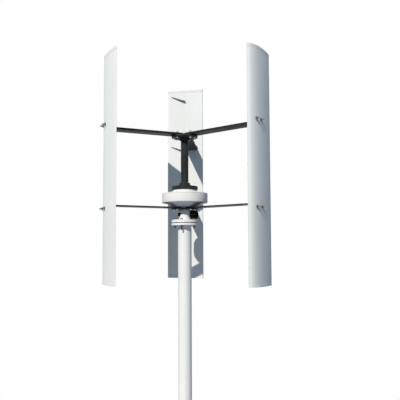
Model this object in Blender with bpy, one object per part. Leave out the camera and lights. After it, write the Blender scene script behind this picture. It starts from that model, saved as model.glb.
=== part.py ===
"""Straight-bladed vertical axis wind turbine on a flanged mast.

Metres, +Z up. The origin is the centre of the base plate's underside and the
rotor turns about the Z axis. Pieces are grouped in two sets: what stands still
(mast, neck, shaft, stator) and what turns (generator housing, hub, arms,
blades), which is parented to the empty "rotor_axis".
"""
import math

import bpy
import bmesh
from mathutils import Matrix, Vector

GAP = 0.0003                      # between pieces that touch

# ---- driving dimensions: heights of the joints up the mast -----------------
BASE_HALF = 0.150                 # square base plate, half side
BASE_T = 0.012
BASE_BOLT_OFFSET = 0.115          # anchor holes, from the centre along X and Y
BASE_HOLE_R = 0.007
MAST_R = 0.038                    # 76 mm tube
MAST_WALL = 0.003
MAST_FLANGE_Z = 1.1975            # underside of the mast's top flange
FLANGE_R = 0.074
MAST_FLANGE_T = 0.012
GASKET_T = 0.003
NECK_FLANGE_T = 0.016
NECK_R = 0.0310
NECK_TOP_Z = 1.2860
LOWER_PLATE_Z = 1.2875            # ring plate that carries the lower arms
LOWER_PLATE_T = 0.0055
LOWER_ARM_T = 0.006
UPPER_ARM_T = 0.010
ARM_WIDTH = 0.074
HOUSING_Z = 1.2996                # lowest face of the generator housing
HOUSING_R = 0.1285
RIM_Z0 = 1.3290
RIM_Z1 = 1.3710
BOSS_TOP_Z = 1.3990
LOWER_BOSS_R = 0.066
UPPER_BOSS_R = 0.0655
TUBE_FLANGE_T = 0.0175
TUBE_R = 0.0212
TUBE_WALL = 0.0035
COLLAR_R = 0.030
FITTINGS_Z = 1.2590              # terminal box and gland on the neck
BOX_ANGLE = math.radians(4)
GLAND_ANGLE = math.radians(-152)
UPPER_FLANGE_Z = 1.6960           # underside of the upper hub flange
UPPER_FLANGE_T = 0.010

# ---- driving dimensions: rotor ---------------------------------------------
BLADE_ANGLES = [math.radians(-36.2), math.radians(83.8), math.radians(203.8)]
BLADE_RADIUS = 0.4415             # axis to the blade's flat inner face
BLADE_Z0 = 0.8774
BLADE_HEIGHT = 1.2352
CHORD = 0.2315
PITCH = math.radians(2.24)        # the trailing edge stands this far outward
ATTACH = 0.0720                   # leading edge to the arm's centre line
THICKNESS = 0.2190                # crown height over chord, flat inner face
SKIN = 0.0025
TRAILING_T = 0.004
CAP_H = 0.018
TAB_HEIGHT = 0.036
TAB_BOLT_RISE = 0.0130            # bolts above (below) the arm's face on the tab's side
TAB_BOLT_SPACING = 0.045
TAB_CORNER = 0.014
BEND_R = 0.005                    # inside radius of the arm's bent end
CAMBER = 0.031
NOSE_R = 0.006
CELLS = ((0.035, 0.155), (0.167, 0.455), (0.467, 0.900))   # hollow cells, of the chord
LOUVRE_TIP = 0.920                # of the chord, from the nose
LOUVRE_ROOT = 0.480
LOUVRE_PITCH = 0.335

# ---- driving dimensions: fasteners -----------------------------------------
M8_R = 0.004
M8_HOLE_R = 0.0045
M8_HEX = 0.0065                   # half the distance across flats
M8_HEAD_H = 0.0053
M8_NUT_H = 0.0065
WASHER_R = 0.0085
WASHER_T = 0.0016
BLADE_WASHER_R = 0.0110
FLANGE_BOLT_RADIUS = 0.0575
FLANGE_BOLT_PHASE = math.radians(-107)
HUB_BOLT_RADIUS = 0.0530
HUB_BOLT_SPACING = 0.038

# ---- driving dimensions: generator inside ----------------------------------
SHAFT_R = 0.0125
SHAFT_STEP_R = 0.0155
SHAFT_BORE_R = 0.006
SHAFT_LOW_Z = 1.2150
SHAFT_TOP_Z = 1.3885
SEAL_LIP_R = 0.0185
BEARING_R = 0.026
BEARING_W = 0.015
LOWER_BEARING_Z = 1.3065
UPPER_BEARING_Z = 1.3665
STATOR_Z = 1.3440
STATOR_T = 0.006
STATOR_R = 0.112
COIL_COUNT = 9
MAGNET_COUNT = 12
MAGNET_RADIUS = 0.088

SEGMENTS = 28
INNER_SEGMENTS = 20                # for what the housing hides
HOLE_SEGMENTS = 8

for old in list(bpy.data.objects):
    bpy.data.objects.remove(old, do_unlink=True)


# ---- materials ---------------------------------------------------------------
def material(name, colour, roughness, metallic=0.0):
    mat = bpy.data.materials.new(name)
    mat.use_nodes = True
    shader = mat.node_tree.nodes["Principled BSDF"]
    shader.inputs["Base Color"].default_value = (*colour, 1.0)
    shader.inputs["Roughness"].default_value = roughness
    shader.inputs["Metallic"].default_value = metallic
    return mat


BLADE_WHITE = material("blade_white", (0.86, 0.87, 0.88), 0.35)
CAP_WHITE = material("cap_white", (0.82, 0.83, 0.84), 0.45)
HOUSING_WHITE = material("housing_white", (0.84, 0.83, 0.81), 0.40)
MAST_WHITE = material("mast_white", (0.85, 0.85, 0.84), 0.42)
SATIN_BLACK = material("satin_black", (0.018, 0.019, 0.021), 0.38)
PLASTIC_BLACK = material("plastic_black", (0.015, 0.015, 0.016), 0.55)
STAINLESS = material("stainless", (0.62, 0.62, 0.63), 0.25, 1.0)
ZINC = material("zinc", (0.50, 0.51, 0.52), 0.35, 1.0)
STEEL = material("steel", (0.45, 0.45, 0.46), 0.30, 1.0)
RUBBER = material("rubber", (0.03, 0.03, 0.03), 0.75)
RESIN = material("resin", (0.20, 0.12, 0.06), 0.50)
COPPER = material("copper", (0.72, 0.33, 0.16), 0.35, 1.0)
MAGNET = material("magnet_nickel", (0.55, 0.55, 0.54), 0.22, 1.0)
SEAL_GREY = material("seal_grey", (0.55, 0.55, 0.54), 0.60)


# ---- mesh helpers --------------------------------------------------------------
def finish_mesh(bm, name):
    bmesh.ops.remove_doubles(bm, verts=bm.verts, dist=1e-6)
    bmesh.ops.recalc_face_normals(bm, faces=bm.faces)
    mesh = bpy.data.meshes.new(name)
    bm.to_mesh(mesh)
    bm.free()
    return mesh


def add_object(name, mesh, mat, parent=None, place=None, round_piece=False):
    """Link a new object at the matrix place, with its own material."""
    mesh.materials.clear()
    mesh.materials.append(mat)
    if round_piece:
        mesh.shade_smooth()
        mesh.set_sharp_from_angle(angle=math.radians(30))
    obj = bpy.data.objects.new(name, mesh)
    bpy.context.collection.objects.link(obj)
    obj.parent = parent
    obj.matrix_basis = place or Matrix.Identity(4)
    return obj


def turned(bm, profile, segments=SEGMENTS, hex_rows=(), place=None):
    """Spin a closed outline of (radius, height) points about Z.

    The rows of the outline whose index is in hex_rows get a hexagonal section,
    which suits a bolt head when segments is 12.
    """
    rows = []
    for index, (radius, height) in enumerate(profile):
        if radius < 1e-7:
            rows.append([bm.verts.new((0, 0, height))] * segments)
            continue
        row = []
        for k in range(segments):
            angle = 2 * math.pi * k / segments
            reach = radius
            if index in hex_rows:
                reach = radius / math.cos((angle + math.pi / 6) % (math.pi / 3) - math.pi / 6)
            row.append(bm.verts.new((reach * math.cos(angle), reach * math.sin(angle), height)))
        rows.append(row)
    made = {v for row in rows for v in row}
    for a, b in zip(rows, rows[1:] + rows[:1]):
        for k in range(segments):
            n = (k + 1) % segments
            corners = []
            for v in (a[k], a[n], b[n], b[k]):
                if v not in corners:
                    corners.append(v)
            if len(corners) > 2:
                bm.faces.new(corners)
    if place is not None:
        bmesh.ops.transform(bm, matrix=place, verts=list(made))


def turned_mesh(name, profile, segments=SEGMENTS):
    bm = bmesh.new()
    turned(bm, profile, segments)
    return finish_mesh(bm, name)


def ring(inner, outer, z0, z1):
    """Outline of a plain ring."""
    return [(inner, z0), (outer, z0), (outer, z1), (inner, z1)]


def prism(bm, outline, z0, z1, place=None):
    """Extrude a flat outline of (x, y) points from z0 to z1."""
    low = [bm.verts.new((x, y, z0)) for x, y in outline]
    high = [bm.verts.new((x, y, z1)) for x, y in outline]
    bm.faces.new(list(reversed(low)))
    bm.faces.new(high)
    for k in range(len(outline)):
        n = (k + 1) % len(outline)
        bm.faces.new((low[k], low[n], high[n], high[k]))
    if place is not None:
        bmesh.ops.transform(bm, matrix=place, verts=low + high)


def cylinder(bm, radius, z0, z1, place=None, segments=HOLE_SEGMENTS):
    turned(bm, [(0, z0), (radius, z0), (radius, z1), (0, z1)], segments, place=place)


def rectangle(half_x, half_y, corner=0.0, steps=3):
    """Outline of a rectangle centred on the origin, with round corners."""
    if corner <= 0:
        return [(-half_x, -half_y), (half_x, -half_y), (half_x, half_y), (-half_x, half_y)]
    points = []
    for quarter, (sx, sy) in enumerate(((1, 1), (-1, 1), (-1, -1), (1, -1))):
        for k in range(steps + 1):
            angle = math.pi / 2 * (quarter + k / steps)
            points.append((sx * (half_x - corner) + corner * math.cos(angle),
                           sy * (half_y - corner) + corner * math.sin(angle)))
    return points


def combined(name, base, others, operation):
    """Apply a Boolean of each of the other filled bmeshes to base."""
    holder = bpy.data.objects.new(name, finish_mesh(base, name))
    bpy.context.collection.objects.link(holder)
    tools = []
    for index, other in enumerate(others):
        tool = bpy.data.objects.new(f"{name}_tool_{index}", finish_mesh(other, name))
        bpy.context.collection.objects.link(tool)
        boolean = holder.modifiers.new(f"boolean_{index}", "BOOLEAN")
        boolean.operation = operation
        boolean.solver = "EXACT"
        boolean.object = tool
        tools.append(tool)
    graph = bpy.context.evaluated_depsgraph_get()
    mesh = bpy.data.meshes.new_from_object(holder.evaluated_get(graph))
    for obj in [holder] + tools:
        bpy.data.objects.remove(obj, do_unlink=True)
    return mesh


def cut(name, base, cutters):
    return combined(name, base, cutters, "DIFFERENCE")


def joined(name, base, others):
    return combined(name, base, others, "UNION")


def bolt(bm, place, grip, below, nut_washer_r=WASHER_R):
    """M8 bolt with its washers and nut, as one solid. The seat is the place's
    origin: head above it, then the grip, the nut and the thread's end."""
    washer_top = GAP + WASHER_T
    washer_low = -grip - GAP
    nut_top = washer_low - WASHER_T
    nut_low = nut_top - M8_NUT_H
    end = nut_low - below
    profile = [(0, end), (M8_R, end), (M8_R, nut_low), (M8_HEX, nut_low), (M8_HEX, nut_top),
               (nut_washer_r, nut_top), (nut_washer_r, washer_low), (M8_R, washer_low), (M8_R, GAP),
               (WASHER_R, GAP), (WASHER_R, washer_top), (M8_HEX, washer_top),
               (M8_HEX, washer_top + M8_HEAD_H), (0, washer_top + M8_HEAD_H)]
    turned(bm, profile, 12, hex_rows=(3, 4, 11, 12), place=place)


def on_circle(radius, angle, z):
    return Matrix.Translation((radius * math.cos(angle), radius * math.sin(angle), z))


def circle_angles(count, phase=0.0):
    return [phase + 2 * math.pi * k / count for k in range(count)]


def hub_bolt_places(z):
    """Two bolts side by side through the root of each arm."""
    places = []
    for angle in BLADE_ANGLES:
        for side in (-1, 1):
            local = Vector((HUB_BOLT_RADIUS, side * HUB_BOLT_SPACING / 2, z))
            places.append(Matrix.Rotation(angle, 4, "Z") @ Matrix.Translation(local))
    return places


ARM_THICKNESS = {"lower": LOWER_ARM_T, "upper": UPPER_ARM_T}
ARM_LEVELS = {
    "lower": LOWER_PLATE_Z + LOWER_PLATE_T + GAP + LOWER_ARM_T / 2,
    "upper": UPPER_FLANGE_Z + UPPER_FLANGE_T + GAP + UPPER_ARM_T / 2,
}


# ---- blade section -------------------------------------------------------------
def crown(s):
    """Height of the outer face over the flat inner face, s from 0 to 1."""
    half = 5 * (0.2969 * math.sqrt(s) - 0.1260 * s - 0.3516 * s ** 2
                + 0.2843 * s ** 3 - 0.1036 * s ** 4)
    return CHORD * (THICKNESS * half + CAMBER * s * (1 - s)) + TRAILING_T * s


def crown_line(s0, s1, steps, inset=0.0):
    """Points (outward, along chord) of the outer face, crowded at both ends."""
    points = []
    for k in range(steps + 1):
        s = s0 + (s1 - s0) * 0.5 * (1 - math.cos(math.pi * k / steps))
        points.append((crown(s) - inset, s * CHORD - ATTACH))
    return points


def outer_section():
    """Crowned outer face, flat inner face with a fine step before the tail."""
    curve = [(max(v, NOSE_R), y) for v, y in crown_line(0.0, 1.0, 20)]
    nose = [(NOSE_R * (1 - math.sin(a)), -ATTACH + NOSE_R * (1 - math.cos(a)))
            for a in (math.radians(90), math.radians(60), math.radians(30))]
    tail_y = CHORD - ATTACH
    lip = [(0.0, tail_y), (0.0, tail_y - 0.019), (0.0012, tail_y - 0.0195),
           (0.0012, tail_y - 0.0210), (0.0, tail_y - 0.0215)]
    return curve + lip + nose


def cell_outlines(clearance):
    """The hollow cells between the blade's webs, smaller by the clearance."""
    wall = SKIN + clearance
    outlines = []
    for s0, s1 in CELLS:
        margin = clearance / CHORD
        curve = crown_line(s0 + margin, s1 - margin, 7, wall)
        outlines.append(curve + [(wall, curve[-1][1]), (wall, curve[0][1])])
    return outlines


def filled(outlines, z0, z1):
    bm = bmesh.new()
    for outline in outlines:
        prism(bm, outline, z0, z1)
    return bm


def outward_hole(y, z):
    """A cylinder's place in the blade frame, its axis outward at (y, z)."""
    return Matrix.Translation((0, y, z)) @ Matrix.Rotation(math.pi / 2, 4, "Y")


def tab_bolt_spots():
    """(along chord, height) of the four bolts that hold a blade."""
    rises = (ARM_LEVELS["lower"] - LOWER_ARM_T / 2 - TAB_BOLT_RISE,
             ARM_LEVELS["upper"] + UPPER_ARM_T / 2 + TAB_BOLT_RISE)
    return [(side * TAB_BOLT_SPACING / 2, z) for z in rises for side in (-1, 1)]


def blade_place(angle):
    """Blade frame: X outward through the section, Y from nose to tail."""
    return (Matrix.Rotation(angle, 4, "Z") @ Matrix.Translation((BLADE_RADIUS, 0, 0))
            @ Matrix.Rotation(-PITCH, 4, "Z"))


def bolt_hole_cutter():
    bm = bmesh.new()
    for y, z in tab_bolt_spots():
        cylinder(bm, M8_HOLE_R, -0.05, 0.10, outward_hole(y, z))
    return bm


def louvre_cutter():
    """Two tapering slots through the inner skin, in its trailing half."""
    bm = bmesh.new()
    tip_y = LOUVRE_TIP * CHORD - ATTACH
    root_y = LOUVRE_ROOT * CHORD - ATTACH
    face_on = Matrix(((0, 0, 1, 0), (1, 0, 0, 0), (0, 1, 0, 0), (0, 0, 0, 1)))
    for drop in (0.0, LOUVRE_PITCH):
        top = BLADE_Z0 + BLADE_HEIGHT - drop
        outline = [(tip_y, top - 0.0395), (tip_y, top - 0.0425), (root_y, top - 0.103),
                   (root_y, top - 0.075)]
        prism(bm, outline, -0.01, SKIN + 0.0006, face_on)
    return bm


# ---- what stands still -----------------------------------------------------------
def build_base():
    plate = bmesh.new()
    prism(plate, rectangle(BASE_HALF, BASE_HALF, 0.018), 0.0, BASE_T)
    gussets = bmesh.new()
    foot = BASE_T - 0.002
    reach = MAST_R + GAP
    outline = [(reach, foot), (0.118, foot), (0.118, foot + 0.014), (reach + 0.012, foot + 0.092),
               (reach, foot + 0.092)]
    upright = Matrix(((1, 0, 0, 0), (0, 0, -1, 0), (0, 1, 0, 0), (0, 0, 0, 1)))
    for angle in circle_angles(4):
        prism(gussets, outline, -0.004, 0.004, Matrix.Rotation(angle, 4, "Z") @ upright)
    holes = bmesh.new()
    for sx in (-1, 1):
        for sy in (-1, 1):
            spot = Matrix.Translation((sx * BASE_BOLT_OFFSET, sy * BASE_BOLT_OFFSET, 0))
            cylinder(holes, BASE_HOLE_R, -0.01, BASE_T + 0.01, spot, 16)
    drilled = cut("drilled_plate", plate, [holes])
    body = bmesh.new()
    body.from_mesh(drilled)
    add_object("base_plate", joined("base_plate", body, [gussets]), MAST_WHITE)


def build_mast():
    tube = ring(MAST_R - MAST_WALL, MAST_R, BASE_T + GAP, MAST_FLANGE_Z - GAP)
    add_object("mast_tube", turned_mesh("mast_tube", tube), MAST_WHITE, round_piece=True)

    flange_top = MAST_FLANGE_Z + MAST_FLANGE_T
    gasket_low = flange_top + GAP
    gasket_top = gasket_low + GASKET_T
    neck_low = gasket_top + GAP
    neck_step = neck_low + NECK_FLANGE_T
    places = [on_circle(FLANGE_BOLT_RADIUS, a, 0) for a in circle_angles(4, FLANGE_BOLT_PHASE)]

    def drilled(name, profile, mat):
        disc = bmesh.new()
        turned(disc, profile)
        holes = bmesh.new()
        for place in places:
            cylinder(holes, M8_HOLE_R, MAST_FLANGE_Z - 0.01, neck_step + 0.01, place)
        add_object(name, cut(name, disc, [holes]), mat, round_piece=True)

    edge = 0.0015
    drilled("mast_flange", [(0.030, MAST_FLANGE_Z), (FLANGE_R - edge, MAST_FLANGE_Z),
                            (FLANGE_R, MAST_FLANGE_Z + edge), (FLANGE_R, flange_top - edge),
                            (FLANGE_R - edge, flange_top), (0.030, flange_top)], MAST_WHITE)
    drilled("flange_gasket", ring(0.030, FLANGE_R - 0.001, gasket_low, gasket_top), RUBBER)
    bore = SHAFT_STEP_R + GAP
    neck = [(bore, neck_low), (FLANGE_R - edge, neck_low), (FLANGE_R, neck_low + edge),
            (FLANGE_R, neck_step - edge), (FLANGE_R - edge, neck_step),
            (NECK_R + 0.004, neck_step), (NECK_R, neck_step + 0.004),
            (NECK_R, NECK_TOP_Z - 0.002), (NECK_R - 0.002, NECK_TOP_Z), (bore, NECK_TOP_Z)]
    drilled("generator_neck", neck, HOUSING_WHITE)

    grip = neck_step - MAST_FLANGE_Z
    for number, place in enumerate(places, 1):
        below = 0.019 if number == 1 else 0.005
        shank = bmesh.new()
        bolt(shank, Matrix.Translation((0, 0, neck_step)) @ place, grip, below)
        name = f"flange_bolt_{number}"
        add_object(name, finish_mesh(shank, name), ZINC, round_piece=True)


def build_neck_fittings():
    """Terminal box on the neck's right, cable gland at its left."""
    frame = Matrix.Rotation(BOX_ANGLE, 4, "Z") @ Matrix.Translation((0, 0, FITTINGS_Z))
    back = NECK_R + 0.0012
    lid_back = 0.0600
    front = 0.0750
    half_z = 0.0221
    on_edge = Matrix(((1, 0, 0, 0), (0, 0, -1, 0), (0, 1, 0, 0), (0, 0, 0, 1)))
    box = bmesh.new()
    outline = [(back, -half_z), (lid_back, -half_z), (lid_back, half_z), (back, half_z)]
    prism(box, outline, -0.0225, 0.0225, frame @ on_edge)
    add_object("terminal_box", finish_mesh(box, "terminal_box"), PLASTIC_BLACK)
    lid = bmesh.new()
    outline = [(lid_back + GAP, -half_z), (front - 0.004, -half_z), (front, -half_z + 0.004),
               (front, half_z - 0.016), (front - 0.009, half_z), (lid_back + GAP, half_z)]
    prism(lid, outline, -0.0235, 0.0235, frame @ on_edge)
    holes = bmesh.new()
    for side in (-1, 1):
        for rise in (-1, 1):
            spot = frame @ Matrix.Translation((front, side * 0.017, rise * 0.0120 - 0.006))
            cylinder(holes, 0.0019, -0.004, 0.005, spot @ Matrix.Rotation(math.pi / 2, 4, "Y"))
    add_object("terminal_box_lid", cut("terminal_box_lid", lid, [holes]), PLASTIC_BLACK)

    out = (Matrix.Rotation(GLAND_ANGLE, 4, "Z") @ Matrix.Translation((0, 0, FITTINGS_Z))
           @ Matrix.Rotation(math.pi / 2, 4, "Y"))
    start = NECK_R + 0.0010
    gland = bmesh.new()
    profile = [(0.0045, start), (0.0100, start), (0.0100, start + 0.005), (0.0085, start + 0.0055),
               (0.0085, start + 0.009), (0.0060, start + 0.014), (0.0045, start + 0.014)]
    turned(gland, profile, 12, hex_rows=(1, 2), place=out)
    add_object("cable_gland", finish_mesh(gland, "cable_gland"), PLASTIC_BLACK, round_piece=True)
    seal = bmesh.new()
    cylinder(seal, 0.0045 - GAP, start + 0.002, start + 0.0155, out)
    add_object("gland_seal", finish_mesh(seal, "gland_seal"), SEAL_GREY, round_piece=True)


def build_shaft():
    step_z = LOWER_BEARING_Z - GAP
    shaft = [(SHAFT_BORE_R, SHAFT_LOW_Z), (SHAFT_STEP_R, SHAFT_LOW_Z), (SHAFT_STEP_R, step_z),
             (SHAFT_R, step_z), (SHAFT_R, SHAFT_TOP_Z - 0.001), (SHAFT_R - 0.001, SHAFT_TOP_Z),
             (SHAFT_BORE_R, SHAFT_TOP_Z)]
    add_object("generator_shaft", turned_mesh("generator_shaft", shaft, INNER_SEGMENTS), STEEL,
               round_piece=True)

    bore = SHAFT_R + GAP
    stator_top = STATOR_Z + STATOR_T
    nut_z = UPPER_BEARING_Z + BEARING_W + GAP
    nut = bmesh.new()
    turned(nut, ring(bore, 0.0165, nut_z, nut_z + 0.006), INNER_SEGMENTS)
    add_object("shaft_nut", finish_mesh(nut, "shaft_nut"), ZINC, round_piece=True)

    collar_low = LOWER_BEARING_Z + BEARING_W + GAP
    collar_top = UPPER_BEARING_Z - GAP
    stator = [(bore, collar_low), (0.0165, collar_low), (0.0165, STATOR_Z), (STATOR_R, STATOR_Z),
              (STATOR_R, stator_top), (0.0165, stator_top), (0.0165, collar_top),
              (bore, collar_top)]
    add_object("stator_disc", turned_mesh("stator_disc", stator, INNER_SEGMENTS), RESIN, round_piece=True)

    coils = bmesh.new()
    outer_line = rectangle(0.021, 0.0225, 0.009, 1)
    inner_line = rectangle(0.011, 0.0125, 0.004, 1)
    for angle in circle_angles(COIL_COUNT):
        place = Matrix.Rotation(angle, 4, "Z") @ Matrix.Translation((MAGNET_RADIUS, 0, 0))
        loop_prism(coils, outer_line, inner_line, stator_top + GAP, stator_top + 0.006, place)
    star_ring = bmesh.new()
    turned(star_ring, ring(MAGNET_RADIUS + 0.0185, STATOR_R - 0.0015, stator_top + 0.001,
                           stator_top + 0.005), INNER_SEGMENTS)
    add_object("stator_coils", joined("stator_coils", coils, [star_ring]), COPPER)

    for level, z in (("lower", LOWER_BEARING_Z), ("upper", UPPER_BEARING_Z)):
        name = f"{level}_bearing_inner_ring"
        inner = ring(bore, 0.0170, z, z + BEARING_W)
        add_object(name, turned_mesh(name, inner, INNER_SEGMENTS), STEEL, round_piece=True)


def loop_prism(bm, outer_line, inner_line, z0, z1, place):
    """A flat ring between two outlines of the same number of points."""
    rows = [[bm.verts.new((x, y, z)) for x, y in line]
            for line, z in ((inner_line, z0), (outer_line, z0), (outer_line, z1), (inner_line, z1))]
    for a, b in zip(rows, rows[1:] + rows[:1]):
        for k in range(len(a)):
            n = (k + 1) % len(a)
            bm.faces.new((a[k], a[n], b[n], b[k]))
    bmesh.ops.transform(bm, matrix=place, verts=[v for row in rows for v in row])


# ---- what turns --------------------------------------------------------------------
def build_lower_cover(rotor):
    low = HOUSING_Z
    seat = BEARING_R + GAP
    rim_face = RIM_Z0 - GAP
    profile = [(SEAL_LIP_R, low), (LOWER_BOSS_R, low), (LOWER_BOSS_R + 0.006, low + 0.004),
               (LOWER_BOSS_R + 0.014, low + 0.0125), (0.1040, RIM_Z0 - 0.0080),
               (HOUSING_R - 0.007, RIM_Z0 - 0.0050), (HOUSING_R, RIM_Z0 - 0.0040),
               (HOUSING_R, rim_face), (0.1130, rim_face), (0.0730, low + 0.0130),
               (0.0340, low + 0.0130), (0.0340, LOWER_BEARING_Z + BEARING_W),
               (seat, LOWER_BEARING_Z + BEARING_W), (seat, low + 0.0018),
               (SEAL_LIP_R, low + 0.0018)]
    cover = bmesh.new()
    turned(cover, profile)
    blind = bmesh.new()
    for place in hub_bolt_places(0):
        cylinder(blind, M8_HOLE_R, low - 0.01, low + 0.0105, place)
    add_object("generator_lower_cover", cut("generator_lower_cover", cover, [blind]),
               HOUSING_WHITE, rotor, round_piece=True)


def build_rim(rotor):
    inner = HOUSING_R - 0.0130
    edge = 0.0008
    profile = [(inner, RIM_Z0), (HOUSING_R - edge, RIM_Z0), (HOUSING_R, RIM_Z0 + edge),
               (HOUSING_R, RIM_Z1 - edge), (HOUSING_R - edge, RIM_Z1), (inner, RIM_Z1)]
    add_object("generator_rim", turned_mesh("generator_rim", profile), HOUSING_WHITE, rotor,
               round_piece=True)


def build_upper_cover(rotor, bolt_spots):
    z = RIM_Z1 + GAP
    ceiling = z + 0.0006
    seat = BEARING_R + GAP
    inner = HOUSING_R - 0.0120
    corner = 0.0062
    shoulder = [(HOUSING_R - corner + corner * math.cos(a), z + corner * math.sin(a))
                for a in (math.radians(22), math.radians(45), math.radians(68), math.radians(90))]
    profile = [(inner, z), (HOUSING_R, z)] + shoulder
    profile += [(0.0860, z + 0.0066), (0.0775, z + 0.0100), (0.0710, z + 0.0165),
                (UPPER_BOSS_R + 0.001, BOSS_TOP_Z - 0.0020), (UPPER_BOSS_R, BOSS_TOP_Z),
                (0.0, BOSS_TOP_Z), (0.0, BOSS_TOP_Z - 0.0085), (seat, BOSS_TOP_Z - 0.0085),
                (seat, UPPER_BEARING_Z), (0.0345, UPPER_BEARING_Z), (0.0345, BOSS_TOP_Z - 0.0105),
                (0.0620, BOSS_TOP_Z - 0.0105), (0.0700, ceiling), (inner, ceiling)]
    cap = bmesh.new()
    turned(cap, profile)
    blind = bmesh.new()
    for place in bolt_spots:
        cylinder(blind, M8_HOLE_R, BOSS_TOP_Z - 0.0085, BOSS_TOP_Z + 0.01, place)
    add_object("generator_upper_cover", cut("generator_upper_cover", cap, [blind]),
               HOUSING_WHITE, rotor, round_piece=True)


def build_bearings(rotor):
    """Outer rings with their balls, which turn about the fixed inner rings."""
    for level, z in (("lower", LOWER_BEARING_Z), ("upper", UPPER_BEARING_Z)):
        name = f"{level}_bearing_outer_ring"
        race = bmesh.new()
        turned(race, ring(0.0205, BEARING_R, z + GAP, z + BEARING_W - GAP), INNER_SEGMENTS)
        balls = bmesh.new()
        for angle in circle_angles(9):
            centre = on_circle(0.0192, angle, z + BEARING_W / 2)
            bmesh.ops.create_icosphere(balls, subdivisions=1, radius=0.0018, matrix=centre)
        add_object(name, joined(name, race, [balls]), STEEL, rotor, round_piece=True)
    seal = ring(SHAFT_STEP_R + 0.0004, BEARING_R, HOUSING_Z + 0.0018 + GAP, LOWER_BEARING_Z - GAP)
    add_object("shaft_seal", turned_mesh("shaft_seal", seal, INNER_SEGMENTS), RUBBER, rotor, round_piece=True)


def build_magnets(rotor):
    plate_r = HOUSING_R - 0.0145
    for level, start, way in (("lower", RIM_Z0 + 0.0020, 1), ("upper", RIM_Z1 - 0.0020, -1)):
        z0, z1 = sorted((start, start + way * 0.004))
        name = f"{level}_magnet_plate"
        plate = turned_mesh(name, ring(0.0450, plate_r, z0, z1), INNER_SEGMENTS)
        add_object(name, plate, STEEL, rotor, round_piece=True)
        near = start + way * (0.004 + GAP)
        bed = bmesh.new()
        bed_z = sorted((near, near + way * 0.0015))
        turned(bed, ring(0.0600, plate_r - 0.001, *bed_z), INNER_SEGMENTS)
        blocks = bmesh.new()
        low_z, high_z = sorted((near + way * 0.0005, near + way * 0.0065))
        for angle in circle_angles(MAGNET_COUNT):
            place = Matrix.Rotation(angle, 4, "Z") @ Matrix.Translation((MAGNET_RADIUS, 0, 0))
            prism(blocks, rectangle(0.020, 0.0125), low_z, high_z, place)
        name = f"{level}_magnet_ring"
        add_object(name, joined(name, bed, [blocks]), MAGNET, rotor)


def build_hub(rotor, bolt_spots):
    z0 = BOSS_TOP_Z + GAP
    z1 = z0 + TUBE_FLANGE_T
    socket = TUBE_R + GAP
    floor = z0 + 0.0040
    profile = [(0.0, z0), (FLANGE_R - 0.001, z0), (FLANGE_R, z0 + 0.001), (FLANGE_R, z1 - 0.001),
               (FLANGE_R - 0.001, z1), (COLLAR_R + 0.003, z1), (COLLAR_R, z1 + 0.003),
               (COLLAR_R, z1 + 0.020), (COLLAR_R - 0.004, z1 + 0.0225), (socket, z1 + 0.0225),
               (socket, floor), (0.0, floor)]
    flange = bmesh.new()
    turned(flange, profile)
    holes = bmesh.new()
    for place in bolt_spots:
        cylinder(holes, M8_HOLE_R, z0 - 0.01, z1 + 0.01, place)
    add_object("tube_base_flange", cut("tube_base_flange", flange, [holes]), SATIN_BLACK, rotor,
               round_piece=True)

    tube_top = UPPER_FLANGE_Z + UPPER_FLANGE_T - 0.0035
    tube = ring(TUBE_R - TUBE_WALL, TUBE_R, floor + GAP, tube_top)
    add_object("hub_tube", turned_mesh("hub_tube", tube), SATIN_BLACK, rotor, round_piece=True)

    low = UPPER_FLANGE_Z
    high = low + UPPER_FLANGE_T
    profile = [(0.0, tube_top + GAP), (socket, tube_top + GAP), (socket, low - 0.016),
               (COLLAR_R - 0.004, low - 0.016), (COLLAR_R, low - 0.013), (COLLAR_R, low - 0.004),
               (COLLAR_R + 0.004, low), (FLANGE_R - 0.001, low), (FLANGE_R, low + 0.001),
               (FLANGE_R, high - 0.001), (FLANGE_R - 0.001, high), (0.0, high)]
    flange = bmesh.new()
    turned(flange, profile)
    holes = bmesh.new()
    for place in hub_bolt_places(0):
        cylinder(holes, M8_HOLE_R, low - 0.03, high + 0.03, place)
    add_object("upper_hub_flange", cut("upper_hub_flange", flange, [holes]), SATIN_BLACK, rotor,
               round_piece=True)

    plate = bmesh.new()
    turned(plate, ring(0.0360, FLANGE_R, LOWER_PLATE_Z, LOWER_PLATE_Z + LOWER_PLATE_T))
    holes = bmesh.new()
    for place in hub_bolt_places(LOWER_PLATE_Z):
        cylinder(holes, M8_HOLE_R, -0.01, LOWER_PLATE_T + 0.01, place)
    add_object("lower_arm_plate", cut("lower_arm_plate", plate, [holes]), SATIN_BLACK, rotor,
               round_piece=True)


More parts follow.
